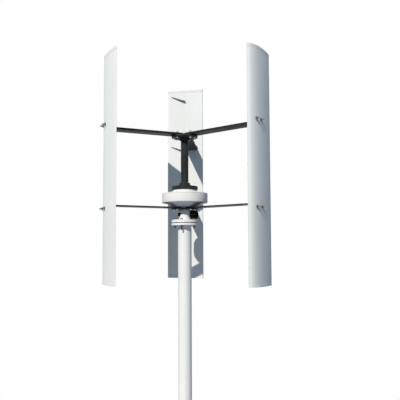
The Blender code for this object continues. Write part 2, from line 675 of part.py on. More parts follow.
def arm_mesh(name, root, way, thick):
    """Flat bar along +X whose end is bent into a tab, up (way 1) or down (-1)."""
    face = BLADE_RADIUS - GAP
    half = thick / 2
    knee = face - BEND_R - thick
    outline = [(root, -half), (knee, -half)]
    outline += [(knee + (BEND_R + thick) * math.sin(a), -half + (BEND_R + thick) * (1 - math.cos(a)))
                for a in (math.radians(30), math.radians(60), math.radians(90))]
    outline += [(face, TAB_HEIGHT - half), (face - thick, TAB_HEIGHT - half)]
    outline += [(knee + BEND_R * math.sin(a), half + BEND_R * (1 - math.cos(a)))
                for a in (math.radians(90), math.radians(45), math.radians(0))]
    outline += [(root, half)]
    stand = Matrix(((1, 0, 0, 0), (0, 0, 1, 0), (0, way, 0, 0), (0, 0, 0, 1)))
    bar = bmesh.new()
    prism(bar, outline, -ARM_WIDTH / 2, ARM_WIDTH / 2, stand)
    for vert in bar.verts:
        if vert.co.x > knee - 0.001:
            vert.co.x += vert.co.y * math.tan(PITCH)
    cuts = bmesh.new()
    for side in (-1, 1):
        y = side * HUB_BOLT_SPACING / 2
        cylinder(cuts, M8_HOLE_R, -0.02, 0.02, Matrix.Translation((HUB_BOLT_RADIUS, y, 0)))
        tab = (Matrix.Translation((BLADE_RADIUS, 0, 0)) @ Matrix.Rotation(-PITCH, 4, "Z")
               @ outward_hole(side * TAB_BOLT_SPACING / 2, way * (half + TAB_BOLT_RISE)))
        cylinder(cuts, M8_HOLE_R, -0.03, 0.03, tab)
        edge_y = side * (ARM_WIDTH / 2 + 0.002)
        tip_z = way * (TAB_HEIGHT - half + 0.002)
        reach = TAB_CORNER + 0.002
        corner = [(edge_y, tip_z), (edge_y - side * reach, tip_z), (edge_y, tip_z - way * reach)]
        along_x = Matrix(((0, 0, 1, 0), (1, 0, 0, 0), (0, 1, 0, 0), (0, 0, 0, 1)))
        prism(cuts, corner, face - 0.03, face + 0.03, along_x)
    return cut(name, bar, [cuts])


def build_arms(rotor):
    for level, root, way in (("upper", 0.0245, 1), ("lower", 0.0370, -1)):
        for number, angle in enumerate(BLADE_ANGLES, 1):
            name = f"{level}_arm_{number}"
            place = Matrix.Translation((0, 0, ARM_LEVELS[level])) @ Matrix.Rotation(angle, 4, "Z")
            mesh = arm_mesh(name, root, way, ARM_THICKNESS[level])
            add_object(name, mesh, SATIN_BLACK, rotor, place)


def build_blades(rotor):
    blade_z1 = BLADE_Z0 + BLADE_HEIGHT
    skin_z0 = BLADE_Z0 + CAP_H + GAP
    skin_z1 = blade_z1 - CAP_H - GAP
    for number, angle in enumerate(BLADE_ANGLES, 1):
        place = blade_place(angle)
        name = f"blade_{number}_skin"
        body = filled([outer_section()], skin_z0, skin_z1)
        cells = filled(cell_outlines(0.0), skin_z0 - 0.01, skin_z1 + 0.01)
        mesh = cut(name, body, [cells, bolt_hole_cutter(), louvre_cutter()])
        add_object(name, mesh, BLADE_WHITE, rotor, place, round_piece=True)

        ends = {"bottom": ((BLADE_Z0, BLADE_Z0 + CAP_H), (BLADE_Z0 + CAP_H - 0.002, skin_z0 + 0.012)),
                "top": ((blade_z1 - CAP_H, blade_z1), (skin_z1 - 0.012, blade_z1 - CAP_H + 0.002))}
        for end, (cap_span, plug_span) in ends.items():
            name = f"blade_{number}_{end}_cap"
            cover = filled([outer_section()], *cap_span)
            plugs = filled(cell_outlines(0.0005), *plug_span)
            add_object(name, joined(name, cover, [plugs]), CAP_WHITE, rotor, place,
                       round_piece=True)

        for index, (y, z) in enumerate(tab_bolt_spots(), 1):
            span = (-BLADE_WASHER_R, 0, BLADE_WASHER_R)
            outer = max(crown((ATTACH + y + d) / CHORD) for d in span)
            inner = ARM_THICKNESS["lower" if index < 3 else "upper"] + 0.0008
            spot = Matrix.Translation((-inner, y, z)) @ Matrix.Rotation(-math.pi / 2, 4, "Y")
            shank = bmesh.new()
            bolt(shank, spot, inner + outer, 0.0085, BLADE_WASHER_R)
            name = f"blade_{number}_bolt_{index}"
            add_object(name, finish_mesh(shank, name), STAINLESS, rotor, place, round_piece=True)


def main():
    rotor = bpy.data.objects.new("rotor_axis", None)
    bpy.context.collection.objects.link(rotor)
    build_base()
    build_mast()
    build_neck_fittings()
    build_shaft()
    flange_bolt_spots = [on_circle(FLANGE_BOLT_RADIUS, a, 0) for a in circle_angles(6)]
    build_lower_cover(rotor)
    build_rim(rotor)
    build_upper_cover(rotor, flange_bolt_spots)
    build_bearings(rotor)
    build_magnets(rotor)
    build_hub(rotor, flange_bolt_spots)
    build_arms(rotor)
    build_blades(rotor)


main()
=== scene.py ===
"""Looks for the three-bladed vertical axis wind turbine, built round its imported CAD.

Everything is in metres in the CAD's own frame: the rotor turns about the Z axis
and the ground is at z = 0. Blade N lies at BLADE_ANGLES[N - 1]. Heights come from
the boxes of the CAD nodes, and pieces with no node of their own, such as the hub
bolts, sit on those.
"""
import math

import bmesh
import bpy
from mathutils import Matrix, Vector


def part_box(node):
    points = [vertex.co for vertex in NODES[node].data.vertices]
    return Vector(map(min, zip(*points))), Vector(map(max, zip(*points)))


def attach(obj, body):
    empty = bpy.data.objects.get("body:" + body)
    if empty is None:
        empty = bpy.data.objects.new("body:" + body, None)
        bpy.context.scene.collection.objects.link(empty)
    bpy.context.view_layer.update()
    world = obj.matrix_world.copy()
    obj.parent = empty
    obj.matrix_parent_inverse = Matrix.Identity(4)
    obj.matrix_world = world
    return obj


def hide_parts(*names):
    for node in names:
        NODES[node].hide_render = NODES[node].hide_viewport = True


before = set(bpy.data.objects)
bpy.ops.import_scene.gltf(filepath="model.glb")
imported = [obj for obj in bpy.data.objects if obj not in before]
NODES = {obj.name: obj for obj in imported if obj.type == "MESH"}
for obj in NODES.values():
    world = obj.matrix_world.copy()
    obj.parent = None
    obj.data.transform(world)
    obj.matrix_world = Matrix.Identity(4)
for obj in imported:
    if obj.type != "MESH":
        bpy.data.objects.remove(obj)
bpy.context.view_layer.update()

# ---- the CAD's own dimensions that its boxes don't tell ---------------------------
GAP = 0.0003                      # between pieces that touch
BLADE_ANGLES = [math.radians(-36.2), math.radians(83.8), math.radians(203.8)]
BLADE_RADIUS = 0.4415             # axis to the blade's flat inner face
PITCH = math.radians(2.24)
CHORD = 0.2315
ATTACH = 0.0720                   # leading edge to the arm's centre line
THICKNESS = 0.2190
CAMBER = 0.031
TRAILING_T = 0.004
NOSE_R = 0.006
SKIN = 0.0025
CELLS = ((0.035, 0.155), (0.167, 0.455), (0.467, 0.900))
LOUVRE_TIP = 0.920
LOUVRE_ROOT = 0.480
LOUVRE_PITCH = 0.335
TAB_BOLT_RISE = 0.0130            # blade bolts, from the arm's face
TAB_BOLT_SPACING = 0.045
HUB_BOLT_RADIUS = 0.0530
HUB_BOLT_SPACING = 0.038
FLANGE_BOLT_RADIUS = 0.0575
FLANGE_BOLT_PHASE = math.radians(-107)
BOX_ANGLE = math.radians(4)
GLAND_ANGLE = math.radians(-152)

MAST_WALL = 0.003
MAST_BORE_R = 0.030               # through the mast's flange and its gasket
NECK_R = 0.0310
NECK_BORE_R = 0.0158
NECK_FLANGE_T = 0.016
SHAFT_HOLE_R = 0.0185             # in the generator's lower cover
BEARING_SEAT_R = 0.0263
BOSS_R = 0.0655
RIM_WALL = 0.013
TUBE_R = 0.0212                   # the black tube between generator and upper arms
TUBE_WALL = 0.0035
COLLAR_R = 0.030
COLLAR_H = 0.0225
FLANGE_R = 0.074
UPPER_FLANGE_T = 0.010
LOWER_ARM_T = 0.006
UPPER_ARM_T = 0.010
TERMINAL_FRONT = 0.0751           # axis to the seat of the lid screws
TERMINAL_HALF = 0.0225            # half the terminal box's width
GLAND_START = 0.0320              # axis to the cable gland's foot

ROUND = 96                        # segments of the large turned pieces
SMALL = 36                        # segments of fasteners
M8_R = 0.004
M8_FLAT = 0.0065                  # half the distance across a hexagon's flats
M8_PITCH = 0.00125
M8_NUT_H = 0.0064
WASHER_T = 0.0016
WASHER_R = 0.0085
HUB_WASHER_R = 0.0080
BLADE_WASHER_R = 0.0110


# ---- finishes ---------------------------------------------------------------------
def finish(name, colour, other, roughness, metallic=0.0, specular=0.5, blotch=5.0,
           grain=900.0, relief=0.00004, stretch=(1.0, 1.0, 1.0), dirt=0.0):
    """Two close tints in soft blotches, a roughness that follows them, a fine grain
    in relief and, where dirt is above 0, faint streaks that run down the surface."""
    mat = bpy.data.materials.new("finish_" + name)
    mat.use_nodes = True
    nodes = mat.node_tree.nodes
    links = mat.node_tree.links
    shader = nodes["Principled BSDF"]
    shader.inputs["Metallic"].default_value = metallic
    shader.inputs["Specular IOR Level"].default_value = specular

    def noise(scale, detail, place):
        field = nodes.new("ShaderNodeTexNoise")
        field.inputs["Scale"].default_value = scale
        field.inputs["Detail"].default_value = detail
        links.new(place, field.inputs["Vector"])
        return field.outputs["Fac"]

    def stretched(scale):
        mapping = nodes.new("ShaderNodeMapping")
        mapping.inputs["Scale"].default_value = scale
        links.new(coords.outputs["Object"], mapping.inputs["Vector"])
        return mapping.outputs["Vector"]

    def ranged(value, low, high, out_low, out_high):
        spread = nodes.new("ShaderNodeMapRange")
        for socket, number in zip(("From Min", "From Max", "To Min", "To Max"),
                                  (low, high, out_low, out_high)):
            spread.inputs[socket].default_value = number
        links.new(value, spread.inputs["Value"])
        return spread.outputs["Result"]

    def mixed(factor, first, second):
        mix = nodes.new("ShaderNodeMix")
        mix.data_type = "RGBA"
        links.new(factor, mix.inputs["Factor"])
        for socket, value in (("A", first), ("B", second)):
            target = next(s for s in mix.inputs if s.name == socket and s.type == "RGBA")
            if isinstance(value, tuple):
                target.default_value = (*value, 1.0)
            else:
                links.new(value, target)
        return next(s for s in mix.outputs if s.type == "RGBA")

    coords = nodes.new("ShaderNodeTexCoord")
    place = stretched(stretch)
    blotches = noise(blotch, 4.0, place)
    tint = mixed(ranged(blotches, 0.35, 0.65, 0.0, 1.0), colour, other)
    if dirt > 0:
        streaks = noise(1.0, 6.0, stretched((75.0, 75.0, 2.2)))
        grime = tuple(c * k for c, k in zip(colour, (0.62, 0.60, 0.56)))
        tint = mixed(ranged(streaks, 0.52, 0.80, 0.0, dirt), tint, grime)
    links.new(tint, shader.inputs["Base Color"])
    links.new(ranged(blotches, 0.3, 0.7, *roughness), shader.inputs["Roughness"])
    bump = nodes.new("ShaderNodeBump")
    bump.inputs["Strength"].default_value = 0.6
    bump.inputs["Distance"].default_value = relief
    links.new(noise(grain, 2.0, place), bump.inputs["Height"])
    links.new(bump.outputs["Normal"], shader.inputs["Normal"])
    return mat


FINISHES = {
    "blade_white": finish("blade_white", (0.86, 0.865, 0.855), (0.83, 0.84, 0.83), (0.42, 0.54),
                          specular=0.015, grain=260.0, relief=0.00003, dirt=0.14),
    "cap_white": finish("cap_white", (0.84, 0.845, 0.84), (0.81, 0.82, 0.815), (0.50, 0.62),
                        specular=0.015, grain=700.0, relief=0.00004, dirt=0.08),
    "housing_white": finish("housing_white", (0.86, 0.855, 0.845), (0.83, 0.825, 0.815),
                            (0.40, 0.52), specular=0.03, grain=480.0, relief=0.00005,
                            blotch=14.0, dirt=0.10),
    "mast_white": finish("mast_white", (0.86, 0.86, 0.86), (0.83, 0.83, 0.83), (0.42, 0.54),
                         specular=0.03, grain=620.0, relief=0.00005, blotch=9.0, dirt=0.12),
    "satin_black": finish("satin_black", (0.026, 0.028, 0.030), (0.036, 0.038, 0.040),
                          (0.36, 0.50), specular=0.04, grain=1300.0, relief=0.00007,
                          blotch=22.0, dirt=0.05),
    "plastic_black": finish("plastic_black", (0.006, 0.006, 0.006), (0.010, 0.010, 0.010),
                            (0.58, 0.72), specular=0.05, grain=1700.0, relief=0.00010,
                            blotch=30.0),
    "stainless": finish("stainless", (0.36, 0.35, 0.335), (0.17, 0.165, 0.16), (0.18, 0.30),
                        metallic=1.0, grain=1500.0, relief=0.00003, blotch=120.0,
                        stretch=(1.0, 1.0, 0.15)),
    "zinc": finish("zinc", (0.20, 0.205, 0.21), (0.12, 0.125, 0.13), (0.30, 0.46), metallic=1.0,
                   grain=1100.0, relief=0.00005, blotch=160.0),
    "steel": finish("steel", (0.46, 0.46, 0.47), (0.38, 0.38, 0.39), (0.24, 0.36), metallic=1.0,
                    grain=900.0, relief=0.00003, blotch=60.0, stretch=(1.0, 1.0, 6.0)),
    "rubber": finish("rubber", (0.022, 0.022, 0.023), (0.032, 0.032, 0.033), (0.66, 0.82),
                     specular=0.3, grain=1600.0, relief=0.00012, blotch=50.0),
    "resin": finish("resin", (0.20, 0.12, 0.06), (0.14, 0.08, 0.04), (0.36, 0.56), grain=500.0,
                    relief=0.00006, blotch=40.0),
    "copper": finish("copper", (0.72, 0.33, 0.16), (0.52, 0.22, 0.10), (0.28, 0.42),
                     metallic=1.0, grain=1400.0, relief=0.00010, blotch=70.0,
                     stretch=(1.0, 1.0, 8.0)),
    "magnet_nickel": finish("magnet_nickel", (0.55, 0.55, 0.54), (0.47, 0.47, 0.46),
                            (0.18, 0.30), metallic=1.0, grain=700.0, relief=0.00003,
                            blotch=50.0),
    "seal_grey": finish("seal_grey", (0.50, 0.50, 0.49), (0.42, 0.42, 0.41), (0.55, 0.70),
                        specular=0.2, grain=1300.0, relief=0.00008, blotch=90.0),
}


def dress_cad_nodes():
    """Put the procedural finish of its record slot on every CAD node."""
    for obj in NODES.values():
        for slot in obj.material_slots:
            slot.material = FINISHES[slot.material.name.split(".")[0]]


# ---- mesh helpers -----------------------------------------------------------------
def link(obj):
    bpy.context.scene.collection.objects.link(obj)
    return obj


def piece(name, bm, slot, body, nodes=(), sharp=30.0):
    """Make the object of a finished bmesh, which stands for the CAD nodes given."""
    bmesh.ops.recalc_face_normals(bm, faces=bm.faces)
    mesh = bpy.data.meshes.new(name)
    bm.to_mesh(mesh)
    bm.free()
    return piece_of_mesh(name, mesh, slot, body, nodes, sharp)


def piece_of_mesh(name, mesh, slot, body, nodes=(), sharp=30.0):
    mesh.shade_smooth()
    mesh.set_sharp_from_angle(angle=math.radians(sharp))
    mesh.materials.clear()
    mesh.materials.append(FINISHES[slot])
    obj = link(bpy.data.objects.new(name, mesh))
    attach(obj, body)
    if nodes:
        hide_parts(*nodes)
    return obj


def filleted(points, radius, steps=3):
    """The closed outline with its corners rounded, by less where they are cramped."""
    outline = []
    for k, here in enumerate(points):
        here = Vector(here)
        if here.x < 1e-6:
            outline.append(tuple(here))
            continue
        before = Vector(points[k - 1]) - here
        after = Vector(points[(k + 1) % len(points)]) - here
        turn = math.pi - before.angle(after)
        trim = min(radius * math.tan(turn / 2), 0.42 * before.length, 0.42 * after.length)
        start = here + before.normalized() * trim
        end = here + after.normalized() * trim
        for step in range(steps + 1):
            t = step / steps
            outline.append(tuple(start.lerp(here, t).lerp(here.lerp(end, t), t)))
    return outline


def hexagon_reach(flat, angle):
    return flat / math.cos((angle + math.pi / 6) % (math.pi / 3) - math.pi / 6)


def turned(bm, profile, segments=ROUND, place=None, flat=None):
    """Spin a closed outline of (radius, height) about Z. Where flat is given, the
    hexagon of that half width across flats cuts the shape."""
    rows = []
    for radius, z in profile:
        if radius < 1e-7:
            rows.append([bm.verts.new((0, 0, z))] * segments)
            continue
        row = []
        for k in range(segments):
            angle = 2 * math.pi * k / segments
            reach = min(radius, hexagon_reach(flat, angle)) if flat else radius
            row.append(bm.verts.new((reach * math.cos(angle), reach * math.sin(angle), z)))
        rows.append(row)
    for a, b in zip(rows, rows[1:] + rows[:1]):
        for k in range(segments):
            n = (k + 1) % segments
            corners = []
            for vert in (a[k], a[n], b[n], b[k]):
                if vert not in corners:
                    corners.append(vert)
            if len(corners) > 2:
                bm.faces.new(corners)
    if place is not None:
        made = {vert for row in rows for vert in row}
        bmesh.ops.transform(bm, matrix=place, verts=list(made))


def ring(inner, outer, z0, z1):
    return [(inner, z0), (outer, z0), (outer, z1), (inner, z1)]


def turned_piece(name, profile, slot, body, nodes=(), fillet=0.001):
    bm = bmesh.new()
    turned(bm, filleted(profile, fillet))
    return piece(name, bm, slot, body, nodes)


def prism(bm, outline, z0, z1, place=None):
    """Extrude an outline of (x, y) points, and return its two end faces."""
    low = [bm.verts.new((x, y, z0)) for x, y in outline]
    high = [bm.verts.new((x, y, z1)) for x, y in outline]
    ends = (bm.faces.new(list(reversed(low))), bm.faces.new(high))
    for k in range(len(outline)):
        n = (k + 1) % len(outline)
        bm.faces.new((low[k], low[n], high[n], high[k]))
    if place is not None:
        bmesh.ops.transform(bm, matrix=place, verts=low + high)
    return ends


def difference(name, body, cutter):
    """The mesh of one bmesh less another."""
    holders = []
    for part, bm in (("body", body), ("cutter", cutter)):
        bmesh.ops.recalc_face_normals(bm, faces=bm.faces)
        mesh = bpy.data.meshes.new(f"{name}_{part}")
        bm.to_mesh(mesh)
        bm.free()
        holders.append(link(bpy.data.objects.new(f"{name}_{part}", mesh)))
    boolean = holders[0].modifiers.new("cut", "BOOLEAN")
    boolean.operation = "DIFFERENCE"
    boolean.solver = "EXACT"
    boolean.use_self = True
    boolean.object = holders[1]
    graph = bpy.context.evaluated_depsgraph_get()
    mesh = bpy.data.meshes.new_from_object(holders[0].evaluated_get(graph))
    for obj in holders:
        bpy.data.objects.remove(obj, do_unlink=True)
    return mesh


def softened(node, name, slot, body, width):
    """A copy of a CAD node with rounded edges, which stands for it."""
    bm = bmesh.new()
    bm.from_mesh(NODES[node].data)
    bmesh.ops.remove_doubles(bm, verts=bm.verts, dist=1e-6)
    bmesh.ops.dissolve_limit(bm, angle_limit=math.radians(1.0), verts=bm.verts, edges=bm.edges)
    edges = [edge for edge in bm.edges
             if edge.is_manifold and edge.calc_face_angle(0.0) > math.radians(35)]
    bmesh.ops.bevel(bm, geom=edges, offset=width, segments=3, profile=0.5,
                    affect="EDGES", clamp_overlap=True)
    return piece(name, bm, slot, body, [node], sharp=40.0)


def height(node, end):
    """The lower (0) or upper (1) height of a CAD node."""
    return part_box(node)[end].z


# ---- fasteners --------------------------------------------------------------------
def washer(bm, place, radius, low, thick):
    turned(bm, filleted(ring(M8_R, radius, low, low + thick), 0.0004, 2), SMALL, place)


def hexagon(bm, place, low, high, flat=M8_FLAT, chamfer_low=True):
    """Bolt head or nut between two heights, with its corners turned off."""
    corner = flat * 1.155
    slope = (corner - flat * 0.96) * 0.6
    profile = [(0.0, low)]
    if chamfer_low:
        profile += [(flat * 0.96, low), (corner, low + slope)]
    else:
        profile += [(corner, low)]
    profile += [(corner, high - slope), (flat * 0.96, high), (0.0, high)]
    turned(bm, profile, SMALL, place, flat=flat)


def thread(bm, place, low, high):
    """Thread's end with its grooves, pointing down, its last turn chamfered."""
    profile = [(0.0, low), (M8_R * 0.72, low), (M8_R * 0.95, low + 0.0009)]
    z = low + 0.0009
    while z + M8_PITCH < high:
        profile += [(M8_R * 0.86, z + M8_PITCH * 0.5), (M8_R, z + M8_PITCH * 0.9)]
        z += M8_PITCH
    turned(bm, profile + [(M8_R, high), (0.0, high)], SMALL, place)


def bolt(bm, place, grip, tail, head_washer=WASHER_R, nut_washer=WASHER_R, head=0.0053):
    """Hexagon bolt through a grip: the seat of its head is the place's origin, its
    head is above it, and its nut and thread's end are below the grip."""
    washer(bm, place, head_washer, GAP, WASHER_T)
    hexagon(bm, place, GAP + WASHER_T, GAP + WASHER_T + head, chamfer_low=False)
    nut_top = -grip - GAP - WASHER_T
    washer(bm, place, nut_washer, nut_top, WASHER_T)
    hexagon(bm, place, nut_top - M8_NUT_H, nut_top)
    thread(bm, place, nut_top - M8_NUT_H - tail, nut_top)
    turned(bm, ring(0.0, M8_R * 0.98, -grip, GAP), 16, place)


def circle_places(count, radius, z, phase=0.0):
    places = []
    for k in range(count):
        angle = phase + 2 * math.pi * k / count
        places.append(Matrix.Translation((radius * math.cos(angle), radius * math.sin(angle), z)))
    return places


def hub_bolt_places(z):
    """Two bolts side by side through the root of each arm."""
    return [Matrix.Rotation(angle, 4, "Z")
            @ Matrix.Translation((HUB_BOLT_RADIUS, side * HUB_BOLT_SPACING / 2, z))
            for angle in BLADE_ANGLES for side in (-1, 1)]


# ---- what stands still ------------------------------------------------------------
def build_mast():
    low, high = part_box("mast_tube")
    outer = high.x
    bm = bmesh.new()
    turned(bm, ring(outer - MAST_WALL, outer, low.z, high.z))
    piece("mast_pole", bm, "mast_white", "mast", ["mast_tube"])
    beads = bmesh.new()
    for foot, way in ((low.z - GAP, 1), (high.z + GAP, -1)):
        outline = [(outer - 0.001, foot), (outer + 0.0042, foot + way * 0.0002),
                   (outer + 0.0030, foot + way * 0.0026), (outer - 0.001, foot + way * 0.0046)]
        turned(beads, filleted(outline, 0.002))
    piece("mast_weld_beads", beads, "mast_white", "mast")
    softened("base_plate", "mast_base", "mast_white", "mast", 0.0012)

    low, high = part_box("mast_flange")
    reach = high.x
    turned_piece("mast_top_flange", ring(MAST_BORE_R, reach, low.z, high.z), "mast_white", "mast",
                 ["mast_flange"], 0.0018)
    low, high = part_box("flange_gasket")
    gasket = ring(MAST_BORE_R, reach - 0.0012, low.z, high.z)
    turned_piece("flange_gasket_ring", gasket, "rubber", "mast", ["flange_gasket"], 0.0006)


def build_neck():
    low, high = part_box("generator_neck")
    reach = high.x
    foot = low.z + NECK_FLANGE_T
    profile = [(NECK_BORE_R, low.z), (reach, low.z), (reach, foot), (NECK_R + 0.0062, foot),
               (NECK_R + 0.0020, foot + 0.0025), (NECK_R + 0.0006, foot + 0.0080),
               (NECK_R - 0.0004, high.z - 0.016), (NECK_R - 0.0004, high.z - 0.006),
               (NECK_R - 0.0016, high.z - 0.0035), (NECK_R - 0.0016, high.z),
               (NECK_BORE_R, high.z)]
    turned_piece("generator_stand", profile, "housing_white", "mast", ["generator_neck"], 0.0018)

    grip = foot - height("mast_flange", 0)
    for number, spot in enumerate(circle_places(4, FLANGE_BOLT_RADIUS, foot, FLANGE_BOLT_PHASE), 1):
        tail = height("mast_flange", 0) - height(f"flange_bolt_{number}", 0) - GAP - 0.0080
        bm = bmesh.new()
        bolt(bm, spot, grip, max(tail, 0.0030))
        piece(f"stand_bolt_{number}", bm, "zinc", "mast", [f"flange_bolt_{number}"])


def screw_head(bm, place, radius, rise):
    dome = [(0.0, 0.0), (radius, 0.0), (radius, rise * 0.35), (radius * 0.86, rise * 0.75),
            (radius * 0.55, rise), (0.0, rise)]
    turned(bm, filleted(dome, radius * 0.2, 2), 24, place)


def build_fittings():
    """Terminal box on the neck's right, cable gland at its left."""
    softened("terminal_box", "terminal_case", "plastic_black", "mast", 0.0014)
    softened("terminal_box_lid", "terminal_cover", "plastic_black", "mast", 0.0012)
    low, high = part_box("terminal_box_lid")
    outwards = (Matrix.Rotation(BOX_ANGLE, 4, "Z")
                @ Matrix.Translation((0, 0, (low.z + high.z) / 2)))
    out = Matrix.Rotation(math.pi / 2, 4, "Y")
    screws = bmesh.new()
    for side in (-1, 1):
        for rise in (-1, 1):
            spot = Matrix.Translation((TERMINAL_FRONT, side * 0.017, rise * 0.0120 - 0.006))
            screw_head(screws, outwards @ spot @ out, 0.0026, 0.0013)
    piece("terminal_cover_screws", screws, "zinc", "mast")
    side_screws = bmesh.new()
    for x in (0.0385, 0.0530):
        spot = Matrix.Translation((x, -TERMINAL_HALF, 0.0)) @ Matrix.Rotation(math.pi / 2, 4, "X")
        screw_head(side_screws, outwards @ spot, 0.0024, 0.0012)
    piece("terminal_case_screws", side_screws, "zinc", "mast")

    low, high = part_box("cable_gland")
    start = GLAND_START
    place = (Matrix.Rotation(GLAND_ANGLE, 4, "Z") @ Matrix.Translation((0, 0, (low.z + high.z) / 2))
             @ Matrix.Rotation(math.pi / 2, 4, "Y"))
    gland = bmesh.new()
    body = ring(0.0052, 0.0108, start, start + 0.005)
    turned(gland, filleted(body, 0.0005), SMALL, place, flat=0.0096)
    dome = [(0.0052, start + 0.0052), (0.0098, start + 0.0052), (0.0096, start + 0.0100),
            (0.0074, start + 0.0146), (0.0052, start + 0.0150)]
    turned(gland, filleted(dome, 0.0012), SMALL, place)
    piece("gland_body", gland, "plastic_black", "mast", ["cable_gland"])
    seal = bmesh.new()
    plug = ring(0.0, 0.0050, start + 0.002, start + 0.0185)
    turned(seal, filleted(plug, 0.0012), 24, place)
    piece("gland_plug", seal, "seal_grey", "mast", ["gland_seal"])


# ---- generator housing ------------------------------------------------------------
def build_housing():
    low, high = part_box("generator_lower_cover")
    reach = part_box("generator_rim")[1].x
    rim_low, rim_high = height("generator_rim", 0), height("generator_rim", 1)
    base = low.z
    bearing = height("lower_bearing_outer_ring", 1) + 0.0006
    profile = [(SHAFT_HOLE_R, base), (BOSS_R + 0.0005, base), (0.0720, base + 0.004),
               (0.0800, base + 0.0125),
               (0.1040, rim_low - 0.0080), (reach - 0.007, rim_low - 0.0050),
               (reach, rim_low - 0.0040), (reach, high.z), (0.1130, high.z),
               (0.0730, base + 0.0150), (0.0340, base + 0.0150), (0.0340, bearing),
               (BEARING_SEAT_R, bearing), (BEARING_SEAT_R, base + 0.0018),
               (SHAFT_HOLE_R, base + 0.0018)]
    turned_piece("housing_lower", profile, "housing_white", "rotor", ["generator_lower_cover"],
                 0.0011)
    turned_piece("housing_rim", ring(reach - RIM_WALL, reach, rim_low, rim_high),
                 "housing_white", "rotor", ["generator_rim"], 0.0007)

    top = height("generator_upper_cover", 1)
    z = rim_high + GAP
    bearing = height("upper_bearing_outer_ring", 0) - 0.0003
    profile = [(reach - 0.012, z), (reach, z), (reach, z + 0.0045), (reach - 0.0018, z + 0.0062),
               (0.0860, z + 0.0066), (0.0775, z + 0.0100), (0.0710, z + 0.0165),
               (BOSS_R + 0.0010, top - 0.0020), (BOSS_R, top), (0.0, top), (0.0, top - 0.0085),
               (BEARING_SEAT_R, top - 0.0085), (BEARING_SEAT_R, bearing), (0.0345, bearing),
               (0.0345, top - 0.0105), (0.0620, top - 0.0105), (0.0700, z + 0.0006),
               (reach - 0.012, z + 0.0006)]
    turned_piece("housing_upper", profile, "housing_white", "rotor", ["generator_upper_cover"],
                 0.0016)

    screws = bmesh.new()
    for spot in circle_places(8, 0.1120, z + 0.0063, math.radians(22.5)):
        screw_head(screws, spot, 0.0042, 0.0022)
    piece("housing_screws", screws, "stainless", "rotor")


# ---- hub --------------------------------------------------------------------------
def build_hub():
    low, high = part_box("tube_base_flange")
    socket = TUBE_R + GAP
    top = high.z - COLLAR_H
    floor = low.z + 0.0040
    profile = [(0.0, low.z), (FLANGE_R, low.z), (FLANGE_R, top), (COLLAR_R + 0.0030, top),
               (COLLAR_R, top + 0.0030), (COLLAR_R, high.z - 0.0030), (COLLAR_R - 0.003, high.z),
               (socket, high.z), (socket, floor), (0.0, floor)]
    turned_piece("tube_foot", profile, "satin_black", "rotor", ["tube_base_flange"], 0.0014)
    bolts = bmesh.new()
    for spot in circle_places(6, FLANGE_BOLT_RADIUS, top):
        hexagon(bolts, spot, GAP, GAP + 0.0048, M8_FLAT * 0.85, chamfer_low=False)
    piece("tube_foot_bolts", bolts, "satin_black", "rotor")

    low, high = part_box("hub_tube")
    bm = bmesh.new()
    turned(bm, ring(TUBE_R - TUBE_WALL, TUBE_R, low.z, high.z))
    piece("hub_column", bm, "satin_black", "rotor", ["hub_tube"])

    low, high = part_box("upper_hub_flange")
    face = high.z - UPPER_FLANGE_T
    tube_top = height("hub_tube", 1) + GAP
    profile = [(0.0, tube_top), (socket, tube_top), (socket, low.z), (COLLAR_R - 0.003, low.z),
               (COLLAR_R, low.z + 0.003), (COLLAR_R, face - 0.004), (COLLAR_R + 0.004, face),
               (FLANGE_R, face), (FLANGE_R, high.z), (0.0, high.z)]
    turned_piece("hub_head", profile, "satin_black", "rotor", ["upper_hub_flange"], 0.0014)
    arm_top = height("upper_arm_1", 0) + UPPER_ARM_T
    bolts = bmesh.new()
    for spot in hub_bolt_places(face):
        flipped = spot @ Matrix.Rotation(math.pi, 4, "X")
        bolt(bolts, flipped, arm_top - face, 0.0042, HUB_WASHER_R, HUB_WASHER_R, 0.0050)
    piece("hub_head_bolts", bolts, "stainless", "rotor")

    low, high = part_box("lower_arm_plate")
    turned_piece("arm_plate", ring(0.0360, high.x, low.z, high.z), "satin_black", "rotor",
                 ["lower_arm_plate"], 0.0009)
    bolts = bmesh.new()
    for spot in hub_bolt_places(low.z):
        flipped = spot @ Matrix.Rotation(math.pi, 4, "X")
        washer(bolts, flipped, HUB_WASHER_R, GAP, 0.0011)
        hexagon(bolts, flipped, GAP + 0.0011, GAP + 0.0053, chamfer_low=False)
    piece("arm_plate_bolts", bolts, "steel", "rotor")


def build_arms():
    for level in ("upper", "lower"):
        for number in (1, 2, 3):
            softened(f"{level}_arm_{number}", f"{level}_strut_{number}", "satin_black", "rotor",
                     0.0009)


# ---- blades -----------------------------------------------------------------------
def crown(s):
    """Height of the outer face over the flat inner face, s from nose 0 to tail 1."""
    half = 5 * (0.2969 * math.sqrt(s) - 0.1260 * s - 0.3516 * s ** 2
                + 0.2843 * s ** 3 - 0.1036 * s ** 4)
    return CHORD * (THICKNESS * half + CAMBER * s * (1 - s)) + TRAILING_T * s


def crown_line(s0, s1, steps, inset=0.0):
    points = []
    for k in range(steps + 1):
        s = s0 + (s1 - s0) * 0.5 * (1 - math.cos(math.pi * k / steps))
        points.append((crown(s) - inset, s * CHORD - ATTACH))
    return points


